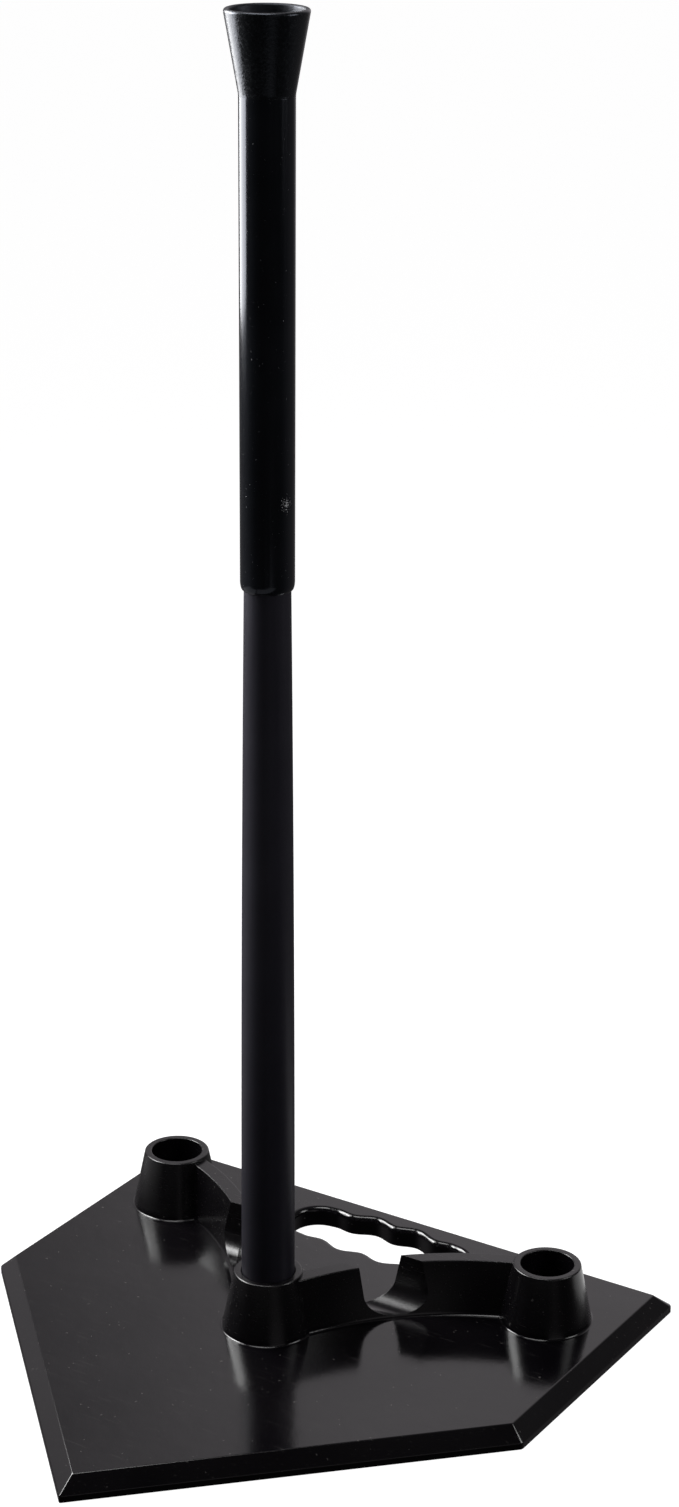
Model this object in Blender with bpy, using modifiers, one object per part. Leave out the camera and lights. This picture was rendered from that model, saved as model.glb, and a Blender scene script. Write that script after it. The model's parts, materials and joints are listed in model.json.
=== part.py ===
"""Batting tee: a home-plate base with three sockets, a tapered stem, a sliding sleeve and a ball cup.

Units are metres and +Z is up. The origin is on the floor under the middle of the plate. The plate's
apex points along -Y, its long straight edge lies at +Y, and the tee is symmetric about the plane x = 0.
"""

import math

import bmesh
import bpy
from mathutils import Vector

# Fit between neighbouring pieces, all round
CLEARANCE = 0.0003

# Base plate: a full-size home plate, 17 in wide and 17 in deep
PLATE_WIDTH = 0.4318
PLATE_DEPTH = 0.4318
PLATE_TOP_Z = 0.0142
FOOT_BAND_HEIGHT = 0.0048
EDGE_BEVEL = 0.0104
EDGE_SOFTENING = 0.0009
FOOT_CORNER_RADIUS = 0.0045
TOP_CORNER_RADIUS = 0.0015
APEX_RADIUS = 0.0012
CORNER_STEPS = 4

# Sockets that hold the stem: one in the middle of the plate and one on each side
MIDDLE_SOCKET = (0.0, 0.0239)
SIDE_SOCKET = (0.1565, 0.1369)
SOCKET_TOP_Z = 0.0565
SOCKET_FLOOR_Z = 0.0060
SOCKET_FOOT_RADIUS = 0.0318
SOCKET_RIM_RADIUS = 0.0237
SOCKET_SHOULDER = 0.0012
SOCKET_MOUTH_BEVEL = 0.0008
FOOT_FILLET = 0.0025

# Webs: curved walls from the middle socket to each side socket
WEB_ARC_CENTER = (0.2185, -0.0724)
WEB_ARC_RADIUS = 0.2234
WEB_START_ANGLE = math.radians(156.2)
WEB_END_ANGLE = math.radians(106.5)
WEB_TOP_Z = 0.0538
WEB_TOP_THICKNESS = 0.0114
WEB_FOOT_THICKNESS = 0.0220
WEB_EDGE_SOFTENING = 0.0008
WEB_STEPS = 20

# Saddle: a U-shaped channel along X through both webs, where a loose tube is laid
SADDLE_Y = 0.0800
SADDLE_RADIUS = 0.0159
SADDLE_BOTTOM_Z = 0.0162
SADDLE_REACH_X = 0.115
SADDLE_STEPS = 20

# Grip slot through the plate, with finger scallops on both long sides
SLOT_Y = 0.1680
SLOT_STRAIGHT = 0.0516
SLOT_HALF_WIDTH = 0.0234
SLOT_NARROWING = 0.0057
SLOT_NARROWING_POWER = 2.6
SLOT_END_HALF_WIDTH = 0.0200
SCALLOP_PITCH = 0.0344
SCALLOP_DEPTH = 0.0023
SLOT_LIP_RADIUS = 0.0042
SLOT_SIDE_STEPS = 36
SLOT_END_STEPS = 10
SLOT_LIP_STEPS = 4

# Stem: the lower tube, hollow and tapered, seated in a socket
STEM_FOOT_RADIUS = 0.0182
STEM_HEAD_RADIUS = 0.0152
STEM_WALL = 0.0038
STEM_TAPER_START_Z = 0.0720
STEM_TAPER_POWER = 1.8
STEM_TAPER_STEPS = 12
STEM_BORE_STRIDE = 3
STEM_TOP_Z = 0.7330
STEM_FOOT_CHAMFER = 0.0015
STEM_HEAD_ROUNDING = 0.0014

# Sleeve: the upper tube, which slides on the stem
SLEEVE_BOTTOM_Z = 0.5460
SLEEVE_TOP_Z = 0.8570
SLEEVE_RADIUS = 0.01755
SLEEVE_MOUTH_TAPER = 0.0015
SLEEVE_MOUTH_HEIGHT = 0.0060

# Ball cup: a flared funnel bonded into the top of the sleeve
CUP_TOP_Z = 0.9090
CUP_RIM_RADIUS = 0.0264
CUP_FOOT_RADIUS = 0.01765
CUP_WALL = 0.0035
CUP_THROAT_RADIUS = 0.0122
SPIGOT_LENGTH = 0.0250
SPIGOT_CHAMFER = 0.0010

TURN_STEPS = 48
ROUNDING_STEPS = 5
MOUTH_STEPS = 4
LIP_STEPS = 4
FILLET_STEPS = 3
HEAD_STEPS = 3

# How far the middle of a softened edge lies in from its ends, as a share of its size
EDGE_CROWN = 0.3


def clear_scene():
    """Remove whatever objects the scene starts with."""
    for existing in list(bpy.data.objects):
        bpy.data.objects.remove(existing, do_unlink=True)


def new_collection(name):
    """Add a collection under the scene's own."""
    collection = bpy.data.collections.new(name)
    bpy.context.scene.collection.children.link(collection)
    return collection


def rubber(name, color, roughness):
    """A plain rubber material."""
    material = bpy.data.materials.new(name)
    material.use_nodes = True
    shader = material.node_tree.nodes["Principled BSDF"]
    shader.inputs["Base Color"].default_value = (*color, 1.0)
    shader.inputs["Roughness"].default_value = roughness
    shader.inputs["Metallic"].default_value = 0.0
    return material


def add_object(name, bm, collection):
    """Turn a bmesh into an object of the collection."""
    mesh = bpy.data.meshes.new(name)
    bm.to_mesh(mesh)
    bm.free()
    new_object = bpy.data.objects.new(name, mesh)
    collection.objects.link(new_object)
    return new_object


def as_tool(tool):
    """Mark an object as one that only shapes another."""
    tool.hide_render = True
    tool.display_type = "WIRE"
    return tool


def loft(name, rings, collection):
    """A closed solid through rings of equally many points, with a flat cap at each end."""
    bm = bmesh.new()
    loops = [[bm.verts.new(point) for point in ring] for ring in rings]
    count = len(rings[0])
    for lower, upper in zip(loops, loops[1:]):
        for i in range(count):
            j = (i + 1) % count
            bm.faces.new((lower[i], lower[j], upper[j], upper[i]))
    bm.faces.new(loops[0])
    bm.faces.new(loops[-1])
    bmesh.ops.recalc_face_normals(bm, faces=bm.faces)
    return add_object(name, bm, collection)


def turn(name, profile, collection, closed):
    """Turn a profile of (radius, height) points about Z; it runs down its outer side."""
    bm = bmesh.new()
    verts = [bm.verts.new((radius, 0.0, height)) for radius, height in profile]
    for first, second in zip(verts, verts[1:]):
        bm.edges.new((first, second))
    if closed:
        bm.edges.new((verts[-1], verts[0]))
    turned = add_object(name, bm, collection)
    screw = turned.modifiers.new("Turn", "SCREW")
    screw.steps = TURN_STEPS
    screw.render_steps = TURN_STEPS
    screw.use_merge_vertices = True
    screw.merge_threshold = 0.00001
    screw.use_smooth_shade = True
    return turned


def arc(center, radius, start, end, steps):
    """Points on a circular arc from the start angle to the end angle, in degrees, ends included."""
    points = []
    for i in range(steps + 1):
        angle = math.radians(start + (end - start) * i / steps)
        points.append((center[0] + radius * math.cos(angle), center[1] + radius * math.sin(angle)))
    return points


def boolean(target, tool, operation):
    """Join a tool to the target, or cut it out."""
    modifier = target.modifiers.new(tool.name, "BOOLEAN")
    modifier.operation = operation
    modifier.object = tool
    modifier.solver = "EXACT"


def rounded_corner(corner, before, after, radius):
    """Points that round one corner of a plan outline."""
    to_before = (before - corner).normalized()
    to_after = (after - corner).normalized()
    half_angle = to_before.angle(to_after) / 2
    center = corner + (to_before + to_after).normalized() * radius / math.sin(half_angle)
    first = corner + to_before * radius / math.tan(half_angle) - center
    last = corner + to_after * radius / math.tan(half_angle) - center
    spokes = [first.slerp(last, i / CORNER_STEPS).normalized() for i in range(CORNER_STEPS + 1)]
    return [center + spoke * radius for spoke in spokes]


def plate_ring(height, inset, corner_radius):
    """The home plate's outline at a height, drawn in by an inset."""
    side = PLATE_WIDTH / 2 - inset
    front = PLATE_DEPTH / 2 - inset
    slope_inset = inset / math.cos(math.radians(45))
    apex = -PLATE_DEPTH / 2 + slope_inset
    shoulder = apex + side
    corners = [
        Vector((side, front)),
        Vector((-side, front)),
        Vector((-side, shoulder)),
        Vector((0.0, apex)),
        Vector((side, shoulder)),
    ]
    radii = [corner_radius, corner_radius, corner_radius, APEX_RADIUS, corner_radius]
    ring = []
    for i, corner in enumerate(corners):
        before = corners[i - 1]
        after = corners[(i + 1) % len(corners)]
        for point in rounded_corner(corner, before, after, radii[i]):
            ring.append((point.x, point.y, height))
    return ring


def make_plate(collection):
    """The bevelled slab of the base."""
    fine = EDGE_SOFTENING
    rings = [
        plate_ring(0.0, 0.0, FOOT_CORNER_RADIUS),
        plate_ring(FOOT_BAND_HEIGHT, 0.0, FOOT_CORNER_RADIUS),
        plate_ring(PLATE_TOP_Z - fine, EDGE_BEVEL - fine, TOP_CORNER_RADIUS),
        plate_ring(PLATE_TOP_Z - fine * EDGE_CROWN, EDGE_BEVEL, TOP_CORNER_RADIUS),
        plate_ring(PLATE_TOP_Z, EDGE_BEVEL + fine, TOP_CORNER_RADIUS),
    ]
    return loft("base_plate", rings, collection)


def socket_profile():
    """Outer profile of a socket, from the middle of its top down to its foot inside the plate."""
    draft = math.degrees(math.atan2(SOCKET_FOOT_RADIUS - SOCKET_RIM_RADIUS, SOCKET_TOP_Z - PLATE_TOP_Z))
    shoulder_center = (SOCKET_RIM_RADIUS - SOCKET_SHOULDER, SOCKET_TOP_Z - SOCKET_SHOULDER)
    fillet_center = (SOCKET_FOOT_RADIUS + FOOT_FILLET, PLATE_TOP_Z + FOOT_FILLET)
    profile = [(0.0, SOCKET_TOP_Z)]
    profile += arc(shoulder_center, SOCKET_SHOULDER, 90, draft, ROUNDING_STEPS)
    profile += arc(fillet_center, FOOT_FILLET, 180 + draft, 270, FILLET_STEPS)
    inside_plate = PLATE_TOP_Z / 2
    profile += [(SOCKET_FOOT_RADIUS + FOOT_FILLET, inside_plate), (0.0, inside_plate)]
    return profile


def bore_profile():
    """The hole in a socket, from above its mouth down to its floor."""
    radius = STEM_FOOT_RADIUS + CLEARANCE
    mouth_center = (radius + SOCKET_MOUTH_BEVEL, SOCKET_TOP_Z - SOCKET_MOUTH_BEVEL)
    above = SOCKET_TOP_Z + SOCKET_MOUTH_BEVEL
    profile = [(0.0, above), (radius + SOCKET_MOUTH_BEVEL, above)]
    profile += arc(mouth_center, SOCKET_MOUTH_BEVEL, 90, 180, MOUTH_STEPS)
    profile += [(radius, SOCKET_FLOOR_Z), (0.0, SOCKET_FLOOR_Z)]
    return profile


def web_ring(height, thickness):
    """A web's outline at a height: a band of the given thickness along its arc."""
    ring = []
    for side, order in ((1, range(WEB_STEPS + 1)), (-1, range(WEB_STEPS, -1, -1))):
        radius = WEB_ARC_RADIUS + side * thickness / 2
        for i in order:
            angle = WEB_START_ANGLE + (WEB_END_ANGLE - WEB_START_ANGLE) * i / WEB_STEPS
            x = WEB_ARC_CENTER[0] + radius * math.cos(angle)
            y = WEB_ARC_CENTER[1] + radius * math.sin(angle)
            ring.append((x, y, height))
    return ring


def make_web(name, collection):
    """One web, from inside the plate up to its softened top edge."""
    fine = WEB_EDGE_SOFTENING
    fillet = FOOT_FILLET
    rings = [
        web_ring(PLATE_TOP_Z / 2, WEB_FOOT_THICKNESS + 2 * fillet),
        web_ring(PLATE_TOP_Z, WEB_FOOT_THICKNESS + 2 * fillet),
        web_ring(PLATE_TOP_Z + fillet * EDGE_CROWN, WEB_FOOT_THICKNESS + 2 * fillet * EDGE_CROWN),
        web_ring(PLATE_TOP_Z + fillet, WEB_FOOT_THICKNESS),
        web_ring(WEB_TOP_Z - fine, WEB_TOP_THICKNESS),
        web_ring(WEB_TOP_Z - fine * EDGE_CROWN, WEB_TOP_THICKNESS - 2 * fine * EDGE_CROWN),
        web_ring(WEB_TOP_Z, WEB_TOP_THICKNESS - 2 * fine),
    ]
    return as_tool(loft(name, rings, collection))


def mirror_in_x(tool, name, collection):
    """The mirror image of a tool on the other side of the plane x = 0."""
    bm = bmesh.new()
    bm.from_mesh(tool.data)
    for vert in bm.verts:
        vert.co.x = -vert.co.x
    bmesh.ops.reverse_faces(bm, faces=bm.faces)
    return as_tool(add_object(name, bm, collection))


def make_saddle_cutter(collection):
    """The channel across both webs: a half-round bottom under an open top."""
    axis_z = SADDLE_BOTTOM_Z + SADDLE_RADIUS
    above = SOCKET_TOP_Z + SADDLE_RADIUS
    section = [(SADDLE_Y - SADDLE_RADIUS, above)]
    section += arc((SADDLE_Y, axis_z), SADDLE_RADIUS, 180, 360, SADDLE_STEPS)
    section += [(SADDLE_Y + SADDLE_RADIUS, above)]
    rings = [[(x, y, z) for y, z in section] for x in (-SADDLE_REACH_X, SADDLE_REACH_X)]
    return as_tool(loft("saddle_cutter", rings, collection))


def slot_half_width(x):
    """Half the grip slot's width at a distance x from its middle."""
    share = abs(x) / SLOT_STRAIGHT
    if share <= 1:
        wave = SCALLOP_DEPTH * math.cos(2 * math.pi * x / SCALLOP_PITCH)
        return SLOT_HALF_WIDTH - SLOT_NARROWING * share ** SLOT_NARROWING_POWER - wave
    past = (abs(x) - SLOT_STRAIGHT) / SLOT_END_HALF_WIDTH
    return SLOT_END_HALF_WIDTH * math.sqrt(max(0.0, 1 - past ** 2))


def slot_outline():
    """The grip slot's plan outline, counter-clockwise from its +X end."""
    stations = []
    for i in range(SLOT_END_STEPS):
        angle = math.pi / 2 * i / SLOT_END_STEPS
        stations.append(SLOT_STRAIGHT + SLOT_END_HALF_WIDTH * math.cos(angle))
    for i in range(SLOT_SIDE_STEPS):
        stations.append(SLOT_STRAIGHT * (1 - 2 * i / SLOT_SIDE_STEPS))
    stations += [-x for x in reversed(stations[:SLOT_END_STEPS + 1])]
    upper = [Vector((x, SLOT_Y + slot_half_width(x))) for x in stations]
    lower = [Vector((-x, SLOT_Y - slot_half_width(x))) for x in stations]
    return upper[:-1] + lower[:-1]


def grown(outline, distance):
    """An outline moved outward by a distance."""
    moved = []
    count = len(outline)
    for i, point in enumerate(outline):
        along = (outline[(i + 1) % count] - outline[i - 1]).normalized()
        moved.append(point + Vector((along.y, -along.x)) * distance)
    return moved


def make_slot_cutter(collection):
    """The grip slot, with its upper lip rounded over."""
    outline = slot_outline()
    lip = arc((SLOT_LIP_RADIUS, PLATE_TOP_Z - SLOT_LIP_RADIUS), SLOT_LIP_RADIUS, 180, 90, SLOT_LIP_STEPS)
    levels = [(0.0, -SLOT_LIP_RADIUS)] + lip + [(SLOT_LIP_RADIUS, PLATE_TOP_Z + SLOT_LIP_RADIUS)]
    rings = [[(p.x, p.y, height) for p in grown(outline, growth)] for growth, height in levels]
    return as_tool(loft("slot_cutter", rings, collection))


def make_base(tee, tools):
    """The base: plate, three sockets and two webs in one rubber moulding, with its hollows cut."""
    base = make_plate(tee)
    places = {
        "middle": MIDDLE_SOCKET,
        "right": SIDE_SOCKET,
        "left": (-SIDE_SOCKET[0], SIDE_SOCKET[1]),
    }
    for side, (x, y) in places.items():
        socket = as_tool(turn("socket_" + side, socket_profile(), tools, closed=False))
        socket.location = (x, y, 0.0)
        boolean(base, socket, "UNION")
    web = make_web("web_right", tools)
    boolean(base, web, "UNION")
    boolean(base, mirror_in_x(web, "web_left", tools), "UNION")
    for side, (x, y) in places.items():
        bore = as_tool(turn("bore_" + side, bore_profile(), tools, closed=False))
        bore.location = (x, y, 0.0)
        boolean(base, bore, "DIFFERENCE")
    boolean(base, make_saddle_cutter(tools), "DIFFERENCE")
    boolean(base, make_slot_cutter(tools), "DIFFERENCE")
    base.data.materials.append(rubber("base_rubber", (0.024, 0.024, 0.025), 0.24))
    return base


def stem_radius(height):
    """The stem's outer radius at a height: straight in the socket, then a widening taper, then straight."""
    share = (height - STEM_TAPER_START_Z) / (SLEEVE_BOTTOM_Z - STEM_TAPER_START_Z)
    share = min(max(share, 0.0), 1.0)
    return STEM_FOOT_RADIUS - (STEM_FOOT_RADIUS - STEM_HEAD_RADIUS) * share ** STEM_TAPER_POWER


def make_stem(tee):
    """The lower tube, standing on the floor of the middle socket."""
    bottom = SOCKET_FLOOR_Z + CLEARANCE
    rounding = STEM_HEAD_ROUNDING
    taper_length = SLEEVE_BOTTOM_Z - STEM_TAPER_START_Z
    taper = [SLEEVE_BOTTOM_Z - taper_length * i / STEM_TAPER_STEPS for i in range(STEM_TAPER_STEPS + 1)]
    outer = arc((STEM_HEAD_RADIUS - rounding, STEM_TOP_Z - rounding), rounding, 90, 0, HEAD_STEPS)
    outer += [(stem_radius(z), z) for z in taper]
    outer += [(STEM_FOOT_RADIUS, bottom + STEM_FOOT_CHAMFER)]
    outer += [(STEM_FOOT_RADIUS - STEM_FOOT_CHAMFER, bottom)]
    inner = [(STEM_FOOT_RADIUS - STEM_WALL, bottom)]
    inner += [(stem_radius(z) - STEM_WALL, z) for z in reversed(taper[::STEM_BORE_STRIDE])]
    inner += [(STEM_HEAD_RADIUS - STEM_WALL, STEM_TOP_Z)]
    stem = turn("lower_tube", outer + inner, tee, closed=True)
    stem.data.materials.append(rubber("stem_rubber", (0.022, 0.022, 0.027), 0.42))
    return stem


def make_sleeve(tee):
    """The upper tube, with a softened lower end."""
    mouth = []
    for i in range(ROUNDING_STEPS + 1):
        angle = math.pi / 2 * i / ROUNDING_STEPS
        radius = SLEEVE_RADIUS - SLEEVE_MOUTH_TAPER * (1 - math.cos(angle))
        mouth.append((radius, SLEEVE_BOTTOM_Z + SLEEVE_MOUTH_HEIGHT * (1 - math.sin(angle))))
    bore = STEM_HEAD_RADIUS + CLEARANCE
    profile = [(SLEEVE_RADIUS, SLEEVE_TOP_Z)] + mouth
    profile += [(bore, SLEEVE_BOTTOM_Z), (bore, SLEEVE_TOP_Z)]
    sleeve = turn("upper_tube", profile, tee, closed=True)
    sleeve.data.materials.append(rubber("sleeve_rubber", (0.016, 0.016, 0.018), 0.18))
    return sleeve


def make_cup(tee):
    """The ball cup: a rounded lip, a straight flare and a spigot inside the sleeve."""
    foot = SLEEVE_TOP_Z + CLEARANCE
    lip_radius = CUP_WALL / 2
    lip_center = (CUP_RIM_RADIUS - lip_radius, CUP_TOP_Z - lip_radius)
    spigot_bottom = SLEEVE_TOP_Z - SPIGOT_LENGTH
    profile = arc(lip_center, lip_radius, 90, 0, LIP_STEPS)
    profile += [
        (CUP_FOOT_RADIUS, foot),
        (STEM_HEAD_RADIUS, foot),
        (STEM_HEAD_RADIUS, spigot_bottom + SPIGOT_CHAMFER),
        (STEM_HEAD_RADIUS - SPIGOT_CHAMFER, spigot_bottom),
        (CUP_THROAT_RADIUS, spigot_bottom),
        (CUP_THROAT_RADIUS, foot - CUP_WALL),
        (CUP_FOOT_RADIUS - CUP_WALL, foot),
    ]
    profile += arc(lip_center, lip_radius, 180, 90, LIP_STEPS)[:-1]
    cup = turn("ball_cup", profile, tee, closed=True)
    cup.data.materials.append(rubber("cup_rubber", (0.020, 0.021, 0.022), 0.30))
    return cup


def carry_on_axis(child, parent):
    """Fasten a turned piece to the piece that carries it."""
    child.parent = parent
    child.location = Vector((0.0, 0.0, 0.0))


def main():
    """Build the tee with the stem standing in the middle socket."""
    clear_scene()
    tee = new_collection("batting_tee")
    tools = new_collection("cutters")
    make_base(tee, tools)
    stem = make_stem(tee)
    stem.location = (MIDDLE_SOCKET[0], MIDDLE_SOCKET[1], 0.0)
    sleeve = make_sleeve(tee)
    carry_on_axis(sleeve, stem)
    carry_on_axis(make_cup(tee), sleeve)


main()
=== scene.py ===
"""Batting tee in black rubber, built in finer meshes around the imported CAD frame.

Units are metres in the CAD's own frame: the origin is on the floor under the middle of the plate and
+Z is up. The plate's apex points along -Y, and the tee is symmetric about the plane x = 0.
"""

import json
import math

import bmesh
import bpy
from mathutils import Matrix, Vector


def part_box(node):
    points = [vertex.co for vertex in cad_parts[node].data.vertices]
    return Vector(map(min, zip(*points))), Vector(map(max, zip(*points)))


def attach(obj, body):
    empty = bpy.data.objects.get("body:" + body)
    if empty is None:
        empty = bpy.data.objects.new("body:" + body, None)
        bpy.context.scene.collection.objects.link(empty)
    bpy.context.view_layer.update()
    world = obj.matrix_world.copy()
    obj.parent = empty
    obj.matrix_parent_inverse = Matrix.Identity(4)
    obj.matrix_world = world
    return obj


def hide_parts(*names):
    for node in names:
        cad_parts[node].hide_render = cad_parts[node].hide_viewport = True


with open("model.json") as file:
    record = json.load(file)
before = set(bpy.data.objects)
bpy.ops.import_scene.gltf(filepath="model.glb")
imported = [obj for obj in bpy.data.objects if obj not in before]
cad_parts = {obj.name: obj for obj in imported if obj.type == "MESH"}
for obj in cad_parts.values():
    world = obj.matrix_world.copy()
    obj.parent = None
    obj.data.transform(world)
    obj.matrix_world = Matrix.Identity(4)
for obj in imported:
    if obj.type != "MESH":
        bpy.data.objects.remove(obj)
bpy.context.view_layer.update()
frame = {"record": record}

BASE_LOW, BASE_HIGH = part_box("base_plate")
STEM_LOW, STEM_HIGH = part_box("lower_tube")
SLEEVE_LOW, SLEEVE_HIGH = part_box("upper_tube")
CUP_LOW, CUP_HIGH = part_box("ball_cup")
OPENINGS = {hole["name"]: hole["box_m"] for hole in frame["record"]["physics"]["openings"]}


def middle_of(opening, axis):
    """The middle of one of the record's openings along an axis."""
    low, high = OPENINGS[opening]
    return (low[axis] + high[axis]) / 2


# Base plate
PLATE_SIDE = BASE_HIGH.x - BASE_LOW.x
PLATE_TOP_Z = 0.0142
FOOT_BAND_HEIGHT = 0.0048
EDGE_BEVEL = 0.0104
EDGE_SOFTENING = 0.0006
FOOT_EDGE_SOFTENING = 0.0004
FOOT_CORNER_RADIUS = 0.0045
TOP_CORNER_RADIUS = 0.0015
APEX_RADIUS = 0.0012
APEX_HALF_ANGLE = math.radians(45)
CORNER_STEPS = 8

# Shares of the softening that place the rings round the plate's edges
EDGE_CROWN = 0.3
BAND_EDGE_LEAN = 1.2
EDGE_STATIONS = (-1.0, -0.6, -0.2, 0.2, 0.6, 1.0)

# Sockets
STEM_X = (STEM_LOW.x + STEM_HIGH.x) / 2
STEM_Y = (STEM_LOW.y + STEM_HIGH.y) / 2
SIDE_SOCKET_X = middle_of("right_socket", axis=0)
SIDE_SOCKET_Y = middle_of("right_socket", axis=1)
SOCKET_TOP_Z = BASE_HIGH.z
SOCKET_FLOOR_Z = 0.0060
SOCKET_FOOT_RADIUS = 0.0318
SOCKET_RIM_RADIUS = 0.0237
SOCKET_BORE_RADIUS = 0.0185
SOCKET_SHOULDER = 0.0012
SOCKET_MOUTH_BEVEL = 0.0008
SOCKET_FILLET = 0.0016
SHOULDER_STEPS = 8
FILLET_STEPS = 6
MOUTH_STEPS = 6

# Webs
WEB_ARC_CENTER = (0.2185, -0.0724)
WEB_ARC_RADIUS = 0.2234
WEB_START_ANGLE = math.radians(156.2)
WEB_END_ANGLE = math.radians(106.5)
WEB_TOP_Z = 0.0538
WEB_TOP_THICKNESS = 0.0114
WEB_FOOT_THICKNESS = 0.0220
WEB_FILLET = 0.0025
WEB_EDGE_SOFTENING = 0.0008
WEB_STEPS = 56
WEB_EDGE_STEPS = 5

# Saddle channel
SADDLE_Y = middle_of("right_saddle", axis=1)
SADDLE_RADIUS = 0.0159
SADDLE_BOTTOM_Z = 0.0162
SADDLE_REACH_X = 0.115
SADDLE_STEPS = 40

# Grip slot
SLOT_Y = middle_of("grip_slot", axis=1)
SLOT_STRAIGHT = 0.0516
SLOT_HALF_WIDTH = 0.0234
SLOT_NARROWING = 0.0057
SLOT_NARROWING_POWER = 2.6
SLOT_END_HALF_WIDTH = 0.0200
SCALLOP_PITCH = 0.0344
SCALLOP_DEPTH = 0.0023
SLOT_LIP_RADIUS = 0.0042
SLOT_SIDE_STEPS = 90
SLOT_END_STEPS = 20
SLOT_LIP_STEPS = 8

# Stem
STEM_FOOT_RADIUS = (STEM_HIGH.x - STEM_LOW.x) / 2
STEM_HEAD_RADIUS = 0.0152
STEM_WALL = 0.0038
STEM_TAPER_START_Z = 0.0720
STEM_TAPER_POWER = 1.8
STEM_FOOT_CHAMFER = 0.0015
STEM_HEAD_ROUNDING = 0.0014
STEM_TAPER_STEPS = 40
STEM_HEAD_STEPS = 6

# Sleeve
SLEEVE_RADIUS = (SLEEVE_HIGH.x - SLEEVE_LOW.x) / 2
SLEEVE_BORE_RADIUS = 0.0155
SLEEVE_MOUTH_TAPER = 0.0015
SLEEVE_MOUTH_HEIGHT = 0.0060
SLEEVE_MOUTH_STEPS = 10
SCUFF_ANGLE = math.radians(-13)
SCUFF_Z = SLEEVE_LOW.z + 0.059

# Ball cup
CUP_RIM_RADIUS = (CUP_HIGH.x - CUP_LOW.x) / 2
CUP_FOOT_GAP = 0.00002
CUP_FOOT_Z = SLEEVE_HIGH.z + CUP_FOOT_GAP
CUP_FOOT_RADIUS = 0.0176
CUP_FOOT_CURVE = 0.0120
CUP_SPIGOT_RADIUS = 0.0152
CUP_THROAT_RADIUS = 0.0122
CUP_WALL = 0.0035
SPIGOT_CHAMFER = 0.0010
CUP_LIP_STEPS = 8
CUP_NECK_STEPS = 5

# Every turned piece, and the shading of every mesh
TURN_STEPS = 128
SHARP_ANGLE = math.radians(30)
FACE_AREA_WEIGHT = 100
BEVEL_SAMPLES = 4

# Places of the colour sockets on a Mix node, which has several sockets of each name
MIX_COLOR_A = 6
MIX_COLOR_B = 7
MIX_COLOR_OUT = 2

# Linear colours
WHITE = (1.0, 1.0, 1.0, 1.0)
BASE_DARK = (0.0008, 0.0006, 0.0012, 1.0)
BASE_LIGHT = (0.0030, 0.0026, 0.0032, 1.0)
BASE_DUST = (0.11, 0.105, 0.10, 1.0)
STEM_DARK = (0.0105, 0.0098, 0.0148, 1.0)
STEM_LIGHT = (0.0148, 0.0141, 0.0205, 1.0)
STEM_TINT = (0.90, 0.88, 1.0, 1.0)
SLEEVE_DARK = (0.0030, 0.0036, 0.0046, 1.0)
SLEEVE_LIGHT = (0.0054, 0.0062, 0.0076, 1.0)
SLEEVE_TINT = (0.80, 0.85, 1.0, 1.0)
SCUFF_COLOR = (0.55, 0.56, 0.57, 1.0)
CUP_DARK = (0.0024, 0.0029, 0.0032, 1.0)
CUP_LIGHT = (0.0050, 0.0058, 0.0062, 1.0)
CUP_TINT = (0.78, 0.84, 1.0, 1.0)

# Noise: how fast it varies along X, Y and Z, and the range that most of its values fall in
SCRATCH_STRETCH = (35.0, 900.0, 900.0)
STEM_STRETCH = (420.0, 420.0, 9.0)
SLEEVE_STRETCH = (500.0, 500.0, 12.0)
NOISE_RANGE = (0.3, 0.7)

# Where a look changes on a piece: bands of height, of distance and of depth, in metres
RAISED_HEIGHTS = (PLATE_TOP_Z + 0.001, PLATE_TOP_Z + 0.004)
RAISED_ROUGHNESS = 0.14
SCUFF_SPREAD = (0.001, 0.007)
SCUFF_ROUGHNESS = 0.4
CUP_INSIDE_DEPTHS = (0.0002, 0.0016)
CUP_INSIDE_ROUGHNESS = 0.22
PLAN_ONLY = (1.0, 1.0, 0.0)

# Floor
FLOOR_REACH = 30.0
FLOOR_COLOR = (0.2, 0.2, 0.2, 1.0)
FLOOR_GLOW = 0.96

# The room that the rubber reflects. A glow is a direction, the cosines of the angles to it at which
# the glow starts and is full, and its level.
ROOM_COLOR = (1.0, 0.95, 0.99, 1.0)
ROOM_LEVEL = 0.02
BACKDROP_GLOW = ((-0.240, 0.896, 0.375), 0.743, 0.99, 1.0)
BACKDROP_RIGHT_SIDE = ((0.809, 0.588, 0.0), -0.10, 0.08, 0.55)
BACKDROP_LEFT_LEVEL = 0.13
SIDE_GLOWS = (
    ((-0.536, 0.844, 0.0), -0.60, 0.30, 0.08),
    ((-0.840, 0.400, 0.370), 0.90, 0.97, 0.36),
    ((0.780, -0.550, 0.290), 0.915, 0.978, 0.28),
)

# Softboxes above the tee and cards at the floor: name, place, the point it is turned towards, width,
# height and power in watts
SOFT_LIGHTS = (
    ("key_softbox", (-0.87, -0.07, 1.115), (0.0, -0.07, 1.115), 0.80, 1.17, 22.5),
    ("key_core", (-0.86, -0.24, 1.08), (0.0, -0.24, 1.08), 0.40, 0.52, 12.0),
    ("left_softbox", (-1.08, 0.12, 1.05), (0.0, 0.10, 0.0), 0.48, 0.44, 7.9),
    ("top_softbox", (-0.20, -0.10, 1.90), (-0.20, -0.10, 0.0), 0.90, 0.60, 11.0),
    ("right_softbox", (1.30, 0.40, 1.00), (0.1, 0.0, 0.0), 0.60, 0.60, 6.0),
    ("bounce_card", (0.25, 0.295, 0.002), (0.25, 0.295, 1.0), 0.30, 0.14, 0.13),
    ("left_card", (-0.80, -0.45, 0.002), (-0.80, -0.45, 1.0), 1.00, 1.20, 1.30),
    ("front_card", (0.57, -0.85, 0.002), (0.57, -0.85, 1.0), 1.60, 0.70, 0.90),
)

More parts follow.
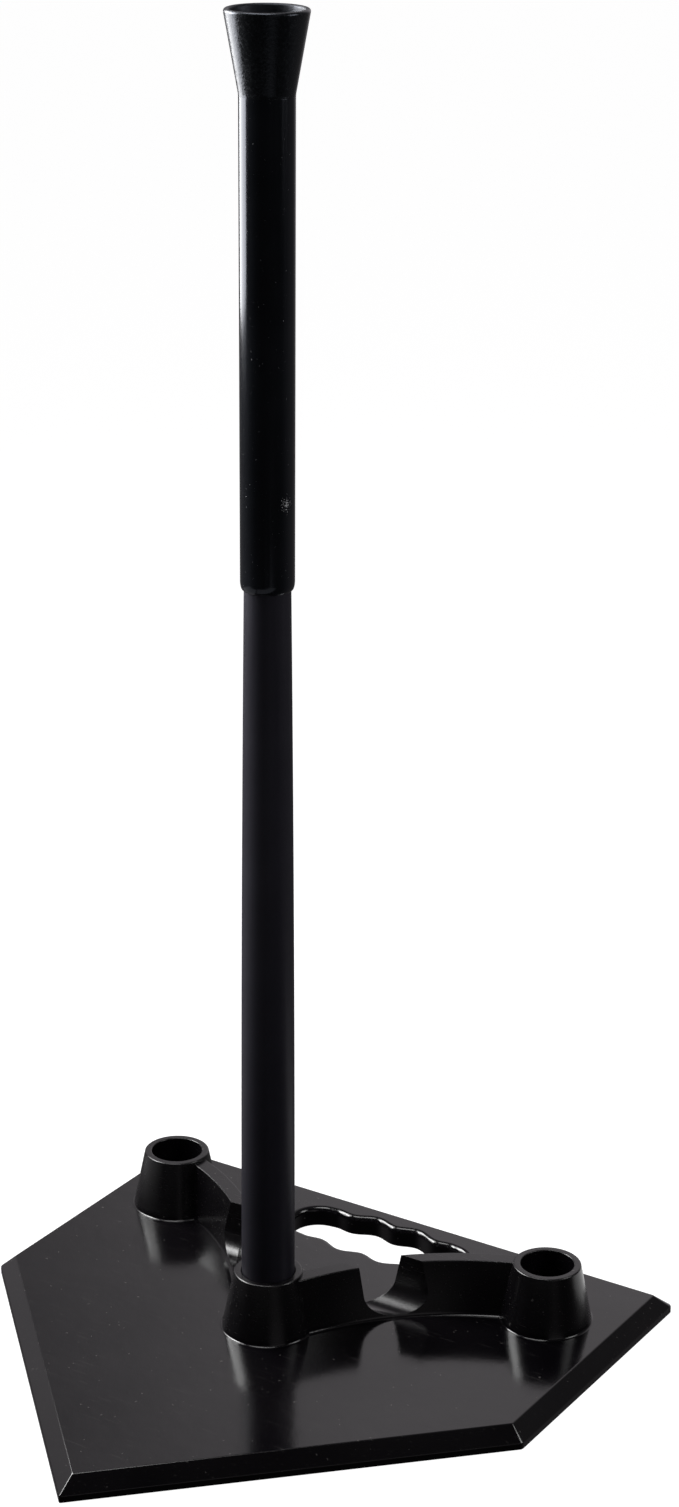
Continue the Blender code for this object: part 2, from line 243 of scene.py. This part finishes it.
# Camera, as fitted to the home plate's known outline
CAMERA_PLACE = (1.0974, -1.6201, 1.1556)
CAMERA_YAW = math.radians(-32.375)
CAMERA_PITCH = math.radians(20.043)
CAMERA_ROLL = math.radians(0.408)
CAMERA_LENS = 77.54
CAMERA_SENSOR = 36.0
CAMERA_REACH = 100.0


# ---------------------------------------------------------------- mesh tools

def mesh_object(name, bm):
    """Turn a bmesh into an object of the scene."""
    mesh = bpy.data.meshes.new(name)
    bm.to_mesh(mesh)
    bm.free()
    made = bpy.data.objects.new(name, mesh)
    bpy.context.scene.collection.objects.link(made)
    return made


def loft(name, rings):
    """A closed solid through rings of equally many points, with a flat cap at each end."""
    bm = bmesh.new()
    loops = [[bm.verts.new(point) for point in ring] for ring in rings]
    count = len(rings[0])
    for lower, upper in zip(loops, loops[1:]):
        for i in range(count):
            j = (i + 1) % count
            bm.faces.new((lower[i], lower[j], upper[j], upper[i]))
    bm.faces.new(loops[0])
    bm.faces.new(loops[-1])
    bmesh.ops.recalc_face_normals(bm, faces=bm.faces)
    return mesh_object(name, bm)


def turned(name, profile, center=(STEM_X, STEM_Y), closed=True):
    """Turn a profile of (radius, height) points about a vertical axis.

    A closed profile joins its last point to its first. An open one starts and ends on the axis.
    """
    bm = bmesh.new()
    rings = []
    for radius, height in profile:
        if radius == 0.0:
            rings.append([bm.verts.new((center[0], center[1], height))] * TURN_STEPS)
            continue
        ring = []
        for i in range(TURN_STEPS):
            angle = 2 * math.pi * i / TURN_STEPS
            x = center[0] + radius * math.cos(angle)
            y = center[1] + radius * math.sin(angle)
            ring.append(bm.verts.new((x, y, height)))
        rings.append(ring)
    pairs = list(zip(rings, rings[1:]))
    if closed:
        pairs.append((rings[-1], rings[0]))
    for first, second in pairs:
        for i in range(TURN_STEPS):
            j = (i + 1) % TURN_STEPS
            corners = []
            for vert in (first[i], first[j], second[j], second[i]):
                if vert not in corners:
                    corners.append(vert)
            bm.faces.new(corners)
    bmesh.ops.recalc_face_normals(bm, faces=bm.faces)
    return mesh_object(name, bm)


def arc(center, radius, start, end, steps):
    """Points on a circular arc from the start angle to the end angle, in degrees, ends included."""
    points = []
    for i in range(steps + 1):
        angle = math.radians(start + (end - start) * i / steps)
        points.append((center[0] + radius * math.cos(angle), center[1] + radius * math.sin(angle)))
    return points


def combine(target, tool, operation):
    """Join a tool to the target, or cut it out."""
    modifier = target.modifiers.new(tool.name, "BOOLEAN")
    modifier.operation = operation
    modifier.object = tool
    modifier.solver = "EXACT"


def apply_modifiers(target, tools):
    """Fix the target's modifiers into its mesh, and remove the tools they used."""
    depsgraph = bpy.context.evaluated_depsgraph_get()
    mesh = bpy.data.meshes.new_from_object(target.evaluated_get(depsgraph))
    target.modifiers.clear()
    target.data = mesh
    for tool in tools:
        bpy.data.objects.remove(tool)


def smooth(piece):
    """Shade a piece smooth, apart from its sharp edges, and keep its flat faces flat."""
    mesh = piece.data
    mesh.polygons.foreach_set("use_smooth", [True] * len(mesh.polygons))
    mesh.set_sharp_from_angle(angle=SHARP_ANGLE)
    weighted = piece.modifiers.new("flat_faces", "WEIGHTED_NORMAL")
    weighted.keep_sharp = True
    weighted.weight = FACE_AREA_WEIGHT
    return piece


# ---------------------------------------------------------------- base

def rounded_corner(corner, before, after, radius):
    """Points that round one corner of a plan outline."""
    to_before = (before - corner).normalized()
    to_after = (after - corner).normalized()
    half_angle = to_before.angle(to_after) / 2
    center = corner + (to_before + to_after).normalized() * radius / math.sin(half_angle)
    first = corner + to_before * radius / math.tan(half_angle) - center
    last = corner + to_after * radius / math.tan(half_angle) - center
    spokes = [first.slerp(last, i / CORNER_STEPS).normalized() for i in range(CORNER_STEPS + 1)]
    return [center + spoke * radius for spoke in spokes]


def plate_ring(height, inset, corner_radius):
    """The home plate's outline at a height, drawn in by an inset."""
    side = PLATE_SIDE / 2 - inset
    apex = -PLATE_SIDE / 2 + inset / math.cos(APEX_HALF_ANGLE)
    corners = [
        Vector((side, side)),
        Vector((-side, side)),
        Vector((-side, apex + side)),
        Vector((0.0, apex)),
        Vector((side, apex + side)),
    ]
    radii = [corner_radius, corner_radius, corner_radius, APEX_RADIUS, corner_radius]
    ring = []
    for i, corner in enumerate(corners):
        after = corners[(i + 1) % len(corners)]
        for point in rounded_corner(corner, corners[i - 1], after, radii[i]):
            ring.append((point.x, point.y, height))
    return ring


def plate():
    """The bevelled slab, with its lower edges eased and its upper edge rounded by a parabola."""
    foot = FOOT_EDGE_SOFTENING
    rings = [
        plate_ring(0.0, foot, FOOT_CORNER_RADIUS),
        plate_ring(foot * EDGE_CROWN, foot * EDGE_CROWN, FOOT_CORNER_RADIUS),
        plate_ring(foot, 0.0, FOOT_CORNER_RADIUS),
        plate_ring(FOOT_BAND_HEIGHT - foot, 0.0, FOOT_CORNER_RADIUS),
        plate_ring(FOOT_BAND_HEIGHT, foot * EDGE_CROWN, FOOT_CORNER_RADIUS),
        plate_ring(FOOT_BAND_HEIGHT + foot, foot * BAND_EDGE_LEAN, FOOT_CORNER_RADIUS),
    ]
    slope = (PLATE_TOP_Z - FOOT_BAND_HEIGHT) / EDGE_BEVEL
    for share in EDGE_STATIONS:
        inset = EDGE_BEVEL + EDGE_SOFTENING * share
        drop = slope * EDGE_SOFTENING * (1 - share) ** 2 / 4
        rings.append(plate_ring(PLATE_TOP_Z - drop, inset, TOP_CORNER_RADIUS))
    return loft("tee_base", rings)


def socket_profile():
    """Outer profile of a socket, from the middle of its top down to its foot inside the plate."""
    height = SOCKET_TOP_Z - PLATE_TOP_Z
    draft = math.degrees(math.atan2(SOCKET_FOOT_RADIUS - SOCKET_RIM_RADIUS, height))
    shoulder_center = (SOCKET_RIM_RADIUS - SOCKET_SHOULDER, SOCKET_TOP_Z - SOCKET_SHOULDER)
    fillet_center = (SOCKET_FOOT_RADIUS + SOCKET_FILLET, PLATE_TOP_Z + SOCKET_FILLET)
    profile = [(0.0, SOCKET_TOP_Z)]
    profile += arc(shoulder_center, SOCKET_SHOULDER, 90, draft, SHOULDER_STEPS)
    profile += arc(fillet_center, SOCKET_FILLET, 180 + draft, 270, FILLET_STEPS)
    profile += [(SOCKET_FOOT_RADIUS + SOCKET_FILLET, PLATE_TOP_Z / 2), (0.0, PLATE_TOP_Z / 2)]
    return profile


def bore_profile():
    """The hole in a socket, from above its flared mouth down to its floor."""
    radius = SOCKET_BORE_RADIUS
    mouth_center = (radius + SOCKET_MOUTH_BEVEL, SOCKET_TOP_Z - SOCKET_MOUTH_BEVEL)
    above = SOCKET_TOP_Z + SOCKET_MOUTH_BEVEL
    profile = [(0.0, above), (radius + SOCKET_MOUTH_BEVEL, above)]
    profile += arc(mouth_center, SOCKET_MOUTH_BEVEL, 90, 180, MOUTH_STEPS)
    profile += [(radius, SOCKET_FLOOR_Z), (0.0, SOCKET_FLOOR_Z)]
    return profile


def web_ring(height, thickness, side):
    """A web's outline at a height: a band of the given thickness along its arc, on side 1 or -1."""
    stations = range(WEB_STEPS + 1)
    ring = []
    for edge, order in ((1, stations), (-1, reversed(stations))):
        radius = WEB_ARC_RADIUS + edge * thickness / 2
        for i in order:
            angle = WEB_START_ANGLE + (WEB_END_ANGLE - WEB_START_ANGLE) * i / WEB_STEPS
            x = WEB_ARC_CENTER[0] + radius * math.cos(angle)
            y = WEB_ARC_CENTER[1] + radius * math.sin(angle)
            ring.append((side * x, y, height))
    return ring


def web(name, side):
    """One web, from inside the plate up to its rounded top edges."""
    foot = WEB_FOOT_THICKNESS / 2 + WEB_FILLET
    edge = WEB_EDGE_SOFTENING
    edge_center = (WEB_TOP_THICKNESS / 2 - edge, WEB_TOP_Z - edge)
    section = [(foot, PLATE_TOP_Z / 2)]
    section += arc((foot, PLATE_TOP_Z + WEB_FILLET), WEB_FILLET, 270, 180, FILLET_STEPS)
    section += arc(edge_center, edge, 0, 90, WEB_EDGE_STEPS)
    return loft(name, [web_ring(height, 2 * half, side) for half, height in section])


def saddle_cutter():
    """The channel across both webs: a half-round bottom under an open top."""
    axis_z = SADDLE_BOTTOM_Z + SADDLE_RADIUS
    above = SOCKET_TOP_Z + SADDLE_RADIUS
    section = [(SADDLE_Y - SADDLE_RADIUS, above)]
    section += arc((SADDLE_Y, axis_z), SADDLE_RADIUS, 180, 360, SADDLE_STEPS)
    section += [(SADDLE_Y + SADDLE_RADIUS, above)]
    rings = [[(x, y, z) for y, z in section] for x in (-SADDLE_REACH_X, SADDLE_REACH_X)]
    return loft("saddle_cutter", rings)


def slot_half_width(x):
    """Half the grip slot's width at a distance x from its middle."""
    share = abs(x) / SLOT_STRAIGHT
    if share <= 1:
        wave = SCALLOP_DEPTH * math.cos(2 * math.pi * x / SCALLOP_PITCH)
        return SLOT_HALF_WIDTH - SLOT_NARROWING * share ** SLOT_NARROWING_POWER - wave
    past = (abs(x) - SLOT_STRAIGHT) / SLOT_END_HALF_WIDTH
    return SLOT_END_HALF_WIDTH * math.sqrt(max(0.0, 1 - past ** 2))


def slot_outline():
    """The grip slot's plan outline, counter-clockwise from its +X end."""
    stations = []
    for i in range(SLOT_END_STEPS):
        turn = math.pi / 2 * i / SLOT_END_STEPS
        stations.append(SLOT_STRAIGHT + SLOT_END_HALF_WIDTH * math.cos(turn))
    for i in range(SLOT_SIDE_STEPS):
        stations.append(SLOT_STRAIGHT * (1 - 2 * i / SLOT_SIDE_STEPS))
    stations += [-x for x in reversed(stations[:SLOT_END_STEPS + 1])]
    upper = [Vector((x, SLOT_Y + slot_half_width(x))) for x in stations]
    lower = [Vector((-x, SLOT_Y - slot_half_width(x))) for x in stations]
    return upper[:-1] + lower[:-1]


def grown(outline, distance):
    """A counter-clockwise outline moved outward by a distance."""
    moved = []
    for i, point in enumerate(outline):
        along = (outline[(i + 1) % len(outline)] - outline[i - 1]).normalized()
        moved.append(point + Vector((along.y, -along.x)) * distance)
    return moved


def slot_cutter():
    """The grip slot, with its upper lip rounded over."""
    outline = slot_outline()
    radius = SLOT_LIP_RADIUS
    levels = [(0.0, -radius)]
    levels += arc((radius, PLATE_TOP_Z - radius), radius, 180, 90, SLOT_LIP_STEPS)
    levels += [(radius, PLATE_TOP_Z + radius)]
    rings = [[(point.x, point.y, z) for point in grown(outline, growth)] for growth, z in levels]
    return loft("slot_cutter", rings)


def make_base():
    """Plate, three sockets and two webs in one moulding, with its hollows cut."""
    base = plate()
    places = {
        "middle": (STEM_X, STEM_Y),
        "right": (SIDE_SOCKET_X, SIDE_SOCKET_Y),
        "left": (-SIDE_SOCKET_X, SIDE_SOCKET_Y),
    }
    tools = []
    for side, place in places.items():
        tools.append(turned("socket_" + side, socket_profile(), center=place, closed=False))
        combine(base, tools[-1], "UNION")
    for name, side in (("web_right", 1), ("web_left", -1)):
        tools.append(web(name, side))
        combine(base, tools[-1], "UNION")
    for side, place in places.items():
        tools.append(turned("bore_" + side, bore_profile(), center=place, closed=False))
        combine(base, tools[-1], "DIFFERENCE")
    for cutter in (saddle_cutter(), slot_cutter()):
        tools.append(cutter)
        combine(base, cutter, "DIFFERENCE")
    apply_modifiers(base, tools)
    return smooth(base)


# ---------------------------------------------------------------- stem, sleeve and cup

def stem_radius(height):
    """The stem's outer radius at a height: straight in the socket, then a taper up to the sleeve."""
    share = (height - STEM_TAPER_START_Z) / (SLEEVE_LOW.z - STEM_TAPER_START_Z)
    share = min(max(share, 0.0), 1.0)
    return STEM_FOOT_RADIUS - (STEM_FOOT_RADIUS - STEM_HEAD_RADIUS) * share ** STEM_TAPER_POWER


def make_stem():
    """The lower tube, standing on the floor of the middle socket."""
    bottom = STEM_LOW.z
    top = STEM_HIGH.z
    rounding = STEM_HEAD_ROUNDING
    head_center = (STEM_HEAD_RADIUS - rounding, top - rounding)
    heights = []
    for i in range(STEM_TAPER_STEPS + 1):
        heights.append(SLEEVE_LOW.z + (STEM_TAPER_START_Z - SLEEVE_LOW.z) * i / STEM_TAPER_STEPS)
    profile = arc(head_center, rounding, 90, 0, STEM_HEAD_STEPS)
    profile += [(stem_radius(z), z) for z in heights]
    profile += [
        (STEM_FOOT_RADIUS, bottom + STEM_FOOT_CHAMFER),
        (STEM_FOOT_RADIUS - STEM_FOOT_CHAMFER, bottom),
        (STEM_FOOT_RADIUS - STEM_WALL, bottom),
    ]
    profile += [(stem_radius(z) - STEM_WALL, z) for z in reversed(heights)]
    profile += [(STEM_HEAD_RADIUS - STEM_WALL, top)]
    return smooth(turned("tee_stem", profile))


def make_sleeve():
    """The upper tube, with a softened lower end."""
    bottom = SLEEVE_LOW.z
    top = SLEEVE_HIGH.z
    profile = [(SLEEVE_BORE_RADIUS, top), (SLEEVE_RADIUS, top)]
    for i in range(SLEEVE_MOUTH_STEPS + 1):
        angle = math.pi / 2 * i / SLEEVE_MOUTH_STEPS
        radius = SLEEVE_RADIUS - SLEEVE_MOUTH_TAPER * (1 - math.cos(angle))
        profile.append((radius, bottom + SLEEVE_MOUTH_HEIGHT * (1 - math.sin(angle))))
    profile.append((SLEEVE_BORE_RADIUS, bottom))
    return smooth(turned("tee_sleeve", profile))


def make_cup():
    """The ball cup: a rounded lip, a straight flare and a spigot inside the sleeve."""
    lip = CUP_WALL / 2
    lip_center = (CUP_RIM_RADIUS - lip, CUP_HIGH.z - lip)
    neck_center = (CUP_FOOT_RADIUS + CUP_FOOT_CURVE, CUP_FOOT_Z)
    height = CUP_HIGH.z - lip - CUP_FOOT_Z
    flare = math.degrees(math.atan2(CUP_RIM_RADIUS - CUP_FOOT_RADIUS, height))
    profile = arc(lip_center, lip, 90, -flare, CUP_LIP_STEPS)
    profile += arc(neck_center, CUP_FOOT_CURVE, 180 - flare, 180, CUP_NECK_STEPS)
    profile += [
        (CUP_SPIGOT_RADIUS, CUP_FOOT_Z),
        (CUP_SPIGOT_RADIUS, CUP_LOW.z + SPIGOT_CHAMFER),
        (CUP_SPIGOT_RADIUS - SPIGOT_CHAMFER, CUP_LOW.z),
        (CUP_THROAT_RADIUS, CUP_LOW.z),
        (CUP_THROAT_RADIUS, CUP_FOOT_Z - CUP_WALL),
        (CUP_FOOT_RADIUS - CUP_WALL, CUP_FOOT_Z),
    ]
    profile += arc(lip_center, lip, 180, 90, CUP_LIP_STEPS)[:-1]
    return smooth(turned("tee_cup", profile))


# ---------------------------------------------------------------- materials

class Nodes:
    """Adds linked nodes to a node tree. An input is given another node's output or a fixed value."""

    def __init__(self, tree, coordinates):
        self.tree = tree
        self.place = self.add("TexCoord").outputs[coordinates]

    def add(self, kind, **settings):
        """A new node with its settings made."""
        node = self.tree.nodes.new("ShaderNode" + kind)
        for name, value in settings.items():
            setattr(node, name, value)
        return node

    def give(self, socket, source):
        """Link an output to an input, or fix the input's value."""
        if isinstance(source, bpy.types.NodeSocket):
            self.tree.links.new(source, socket)
        else:
            socket.default_value = source

    def arithmetic(self, operation, first, second):
        """Two values put together by an operation."""
        node = self.add("Math", operation=operation)
        self.give(node.inputs[0], first)
        self.give(node.inputs[1], second)
        return node.outputs["Value"]

    def sum_of(self, first, second):
        """Two values added."""
        return self.arithmetic("ADD", first, second)

    def vector_arithmetic(self, operation, first, second):
        """A value from two vectors put together by an operation."""
        node = self.add("VectorMath", operation=operation)
        self.give(node.inputs[0], first)
        self.give(node.inputs[1], second)
        return node.outputs["Value"]

    def remap(self, value, source, target, interpolation="LINEAR"):
        """A value mapped from one range to another, clamped."""
        node = self.add("MapRange", interpolation_type=interpolation)
        self.give(node.inputs["Value"], value)
        self.give(node.inputs["From Min"], source[0])
        self.give(node.inputs["From Max"], source[1])
        self.give(node.inputs["To Min"], target[0])
        self.give(node.inputs["To Max"], target[1])
        return node.outputs["Result"]


class Rubber(Nodes):
    """Builds one procedural rubber material, node by node."""

    def __init__(self, name):
        self.material = bpy.data.materials.new(name)
        self.material.use_nodes = True
        super().__init__(self.material.node_tree, "Object")
        self.shader = self.tree.nodes["Principled BSDF"]

    def noise(self, scale, detail, stretch=None):
        """A noise value, about 0.5 on average, with features of 1 / scale metres."""
        node = self.add("TexNoise")
        self.give(node.inputs["Scale"], scale)
        self.give(node.inputs["Detail"], detail)
        self.give(node.inputs["Vector"], self.stretched(stretch) if stretch else self.place)
        return node.outputs["Fac"]

    def stretched(self, scale):
        """Object coordinates scaled along each axis."""
        mapping = self.add("Mapping")
        self.give(mapping.inputs["Scale"], scale)
        self.give(mapping.inputs["Vector"], self.place)
        return mapping.outputs["Vector"]

    def spread(self, noise, low, high):
        """A noise value whose usual range is mapped to run from low to high."""
        return self.remap(noise, source=NOISE_RANGE, target=(low, high))

    def blend(self, share, first, second):
        """A colour between two colours."""
        node = self.add("Mix", data_type="RGBA")
        self.give(node.inputs["Factor"], share)
        self.give(node.inputs[MIX_COLOR_A], first)
        self.give(node.inputs[MIX_COLOR_B], second)
        return node.outputs[MIX_COLOR_OUT]

    def clouds(self, scale, dark, light):
        """A colour that drifts between a dark and a light one."""
        share = self.spread(self.noise(scale, detail=3.0), low=0.0, high=1.0)
        return self.blend(share, dark, light)

    def bump(self, height, depth, normal):
        """A normal bumped by a height value, of a depth in metres."""
        node = self.add("Bump")
        self.give(node.inputs["Distance"], depth)
        self.give(node.inputs["Height"], height)
        self.give(node.inputs["Normal"], normal)
        return node.outputs["Normal"]

    def rounded_edges(self, radius):
        """The surface's normal with its sharp edges rounded."""
        node = self.add("Bevel", samples=BEVEL_SAMPLES)
        self.give(node.inputs["Radius"], radius)
        return node.outputs["Normal"]

    def height(self):
        """The height above the floor at rest, in metres."""
        node = self.add("SeparateXYZ")
        self.give(node.inputs["Vector"], self.place)
        return node.outputs["Z"]

    def specular(self, tint, level=0.5):
        """Tint the highlights and set how strong they are."""
        self.give(self.shader.inputs["Specular Tint"], tint)
        self.give(self.shader.inputs["Specular IOR Level"], level)

    def finish(self, color, roughness, normal):
        """Link the colour, roughness and normal to the shader."""
        self.give(self.shader.inputs["Base Color"], color)
        self.give(self.shader.inputs["Roughness"], roughness)
        self.give(self.shader.inputs["Normal"], normal)
        return self.material


def base_rubber():
    """Glossy moulded rubber, satin above the plate, with waves, fine grain, scratches and dust."""
    rubber = Rubber("base_rubber_look")
    dust = rubber.noise(scale=330.0, detail=1.0)
    specks = rubber.remap(dust, source=(0.752, 0.785), target=(0.0, 0.35))
    hairlines = rubber.noise(scale=1.0, detail=2.0, stretch=SCRATCH_STRETCH)
    scratches = rubber.remap(hairlines, source=(0.67, 0.74), target=(0.0, 0.10))
    raised = rubber.remap(rubber.height(), source=RAISED_HEIGHTS, target=(0.0, RAISED_ROUGHNESS))
    color = rubber.clouds(scale=9.0, dark=BASE_DARK, light=BASE_LIGHT)
    color = rubber.blend(rubber.sum_of(specks, scratches), color, BASE_DUST)
    roughness = rubber.spread(rubber.noise(scale=16.0, detail=4.0), low=0.09, high=0.15)
    roughness = rubber.sum_of(rubber.sum_of(roughness, scratches), raised)
    normal = rubber.rounded_edges(radius=0.0005)
    normal = rubber.bump(rubber.noise(scale=18.0, detail=4.0), depth=0.00028, normal=normal)
    normal = rubber.bump(rubber.noise(scale=1100.0, detail=2.0), depth=0.000022, normal=normal)
    return rubber.finish(color, roughness, normal)


def stem_rubber():
    """Satin extruded rubber with faint lengthwise streaks."""
    rubber = Rubber("stem_rubber_look")
    rubber.specular(STEM_TINT, level=0.30)
    streaks = rubber.noise(scale=1.0, detail=3.0, stretch=STEM_STRETCH)
    color = rubber.clouds(scale=24.0, dark=STEM_DARK, light=STEM_LIGHT)
    roughness = rubber.spread(streaks, low=0.42, high=0.50)
    normal = rubber.bump(streaks, depth=0.00003, normal=rubber.rounded_edges(radius=0.0004))
    normal = rubber.bump(rubber.noise(scale=1300.0, detail=2.0), depth=0.00002, normal=normal)
    return rubber.finish(color, roughness, normal)


def sleeve_rubber():
    """Polished extruded rubber with hairline streaks and a small scuff."""
    rubber = Rubber("sleeve_rubber_look")
    rubber.specular(SLEEVE_TINT)
    streaks = rubber.noise(scale=1.0, detail=4.0, stretch=SLEEVE_STRETCH)
    scuff_x = STEM_X + SLEEVE_RADIUS * math.cos(SCUFF_ANGLE)
    scuff_y = STEM_Y + SLEEVE_RADIUS * math.sin(SCUFF_ANGLE)
    distance = rubber.vector_arithmetic("DISTANCE", rubber.place, (scuff_x, scuff_y, SCUFF_Z))
    patch = rubber.remap(distance, source=SCUFF_SPREAD, target=(0.20, -0.05))
    speckle = rubber.sum_of(rubber.noise(scale=1200.0, detail=2.0), patch)
    scuff = rubber.remap(speckle, source=(0.70, 0.76), target=(0.0, 1.0))
    color = rubber.clouds(scale=30.0, dark=SLEEVE_DARK, light=SLEEVE_LIGHT)
    color = rubber.blend(scuff, color, SCUFF_COLOR)
    roughness = rubber.spread(streaks, low=0.10, high=0.17)
    roughness = rubber.sum_of(roughness, rubber.arithmetic("MULTIPLY", scuff, SCUFF_ROUGHNESS))
    normal = rubber.rounded_edges(radius=0.0003)
    normal = rubber.bump(rubber.noise(scale=40.0, detail=2.0), depth=0.00002, normal=normal)
    normal = rubber.bump(rubber.noise(scale=1100.0, detail=2.0), depth=0.00001, normal=normal)
    return rubber.finish(color, roughness, normal)


def cup_rubber():
    """Moulded rubber with a fine grain, and less gloss inside the cup than outside."""
    rubber = Rubber("cup_rubber_look")
    rubber.specular(CUP_TINT, level=0.40)
    heights = (CUP_FOOT_Z, CUP_HIGH.z)
    radii = (CUP_FOOT_RADIUS, CUP_RIM_RADIUS)
    outer = rubber.remap(rubber.height(), source=heights, target=radii)
    axis = (STEM_X, STEM_Y, 0.0)
    radius = rubber.vector_arithmetic("DISTANCE", rubber.stretched(PLAN_ONLY), axis)
    depth = rubber.arithmetic("SUBTRACT", outer, radius)
    inside = rubber.remap(depth, source=CUP_INSIDE_DEPTHS, target=(0.0, CUP_INSIDE_ROUGHNESS))
    color = rubber.clouds(scale=60.0, dark=CUP_DARK, light=CUP_LIGHT)
    roughness = rubber.spread(rubber.noise(scale=500.0, detail=3.0), low=0.16, high=0.32)
    roughness = rubber.sum_of(roughness, inside)
    normal = rubber.rounded_edges(radius=0.0003)
    normal = rubber.bump(rubber.noise(scale=650.0, detail=2.0), depth=0.00009, normal=normal)
    return rubber.finish(color, roughness, normal)


def dress(piece, material, body, node):
    """Give a piece its material and its body, and hide the CAD node it stands for."""
    piece.data.materials.clear()
    piece.data.materials.append(material)
    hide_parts(node)
    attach(piece, body)


# ---------------------------------------------------------------- studio

def floor():
    """A plain pale floor that keeps out of the rubber's reflections."""
    bm = bmesh.new()
    signs = ((-1, -1), (1, -1), (1, 1), (-1, 1))
    bm.faces.new([bm.verts.new((FLOOR_REACH * x, FLOOR_REACH * y, 0.0)) for x, y in signs])
    ground = mesh_object("studio_floor", bm)
    material = bpy.data.materials.new("studio_floor")
    material.use_nodes = True
    shader = material.node_tree.nodes["Principled BSDF"]
    shader.inputs["Base Color"].default_value = FLOOR_COLOR
    shader.inputs["Roughness"].default_value = 1.0
    shader.inputs["Specular IOR Level"].default_value = 0.0
    shader.inputs["Emission Color"].default_value = WHITE
    shader.inputs["Emission Strength"].default_value = FLOOR_GLOW
    ground.data.materials.append(material)
    ground.visible_glossy = False
    ground.visible_diffuse = False


def soft_light(name, place, target, width, height, power):
    """A rectangular softbox turned towards a point."""
    lamp = bpy.data.lights.new(name, "AREA")
    lamp.shape = "RECTANGLE"
    lamp.size = width
    lamp.size_y = height
    lamp.energy = power
    light = bpy.data.objects.new(name, lamp)
    light.location = place
    light.rotation_euler = (Vector(target) - Vector(place)).to_track_quat("-Z", "Y").to_euler()
    bpy.context.scene.collection.objects.link(light)
    light.visible_camera = False


def glow(room, direction, start, full, level):
    """Light that grows from nothing to a level as the view turns towards a direction."""
    closeness = room.vector_arithmetic("DOT_PRODUCT", room.place, Vector(direction).normalized())
    rise = (start, full)
    return room.remap(closeness, source=rise, target=(0.0, level), interpolation="SMOOTHSTEP")


def studio_world():
    """White to the camera. To the rubber, a dim room with a bright backdrop and a few soft glows."""
    world = bpy.data.worlds.new("studio")
    bpy.context.scene.world = world
    world.use_nodes = True
    world.node_tree.nodes.clear()
    room = Nodes(world.node_tree, "Generated")
    backdrop = glow(room, *BACKDROP_GLOW)
    sides = room.sum_of(glow(room, *BACKDROP_RIGHT_SIDE), BACKDROP_LEFT_LEVEL)
    level = room.arithmetic("MULTIPLY", backdrop, sides)
    for side_glow in SIDE_GLOWS:
        level = room.sum_of(level, glow(room, *side_glow))
    level = room.sum_of(level, ROOM_LEVEL)
    reflected = room.add("Background")
    room.give(reflected.inputs["Strength"], level)
    room.give(reflected.inputs["Color"], ROOM_COLOR)
    seen = room.add("Background")
    room.give(seen.inputs["Color"], WHITE)
    mix = room.add("MixShader")
    room.give(mix.inputs["Fac"], room.add("LightPath").outputs["Is Camera Ray"])
    room.give(mix.inputs[1], reflected.outputs["Background"])
    room.give(mix.inputs[2], seen.outputs["Background"])
    output = room.add("OutputWorld")
    room.give(output.inputs["Surface"], mix.outputs["Shader"])


def camera():
    """The photograph's viewpoint."""
    lens = bpy.data.cameras.new("camera")
    lens.sensor_fit = "AUTO"
    lens.sensor_width = CAMERA_SENSOR
    lens.lens = CAMERA_LENS
    lens.clip_end = CAMERA_REACH
    view = bpy.data.objects.new("camera", lens)
    across = math.cos(CAMERA_PITCH)
    forward = Vector((
        math.sin(CAMERA_YAW) * across,
        math.cos(CAMERA_YAW) * across,
        -math.sin(CAMERA_PITCH),
    ))
    level = Vector((math.cos(CAMERA_YAW), -math.sin(CAMERA_YAW), 0.0))
    upright = level.cross(forward)
    right = level * math.cos(CAMERA_ROLL) + upright * math.sin(CAMERA_ROLL)
    up = upright * math.cos(CAMERA_ROLL) - level * math.sin(CAMERA_ROLL)
    turn = Matrix((right, up, -forward)).transposed().to_4x4()
    view.matrix_world = Matrix.Translation(CAMERA_PLACE) @ turn
    bpy.context.scene.collection.objects.link(view)
    bpy.context.scene.camera = view


def main():
    """Build the tee's visible pieces and the studio round them."""
    dress(make_base(), base_rubber(), "base", "base_plate")
    dress(make_stem(), stem_rubber(), "stem", "lower_tube")
    dress(make_sleeve(), sleeve_rubber(), "sleeve", "upper_tube")
    dress(make_cup(), cup_rubber(), "sleeve", "ball_cup")
    floor()
    studio_world()
    for soft_box in SOFT_LIGHTS:
        soft_light(*soft_box)
    camera()
    bpy.context.scene.view_settings.view_transform = "Standard"


main()
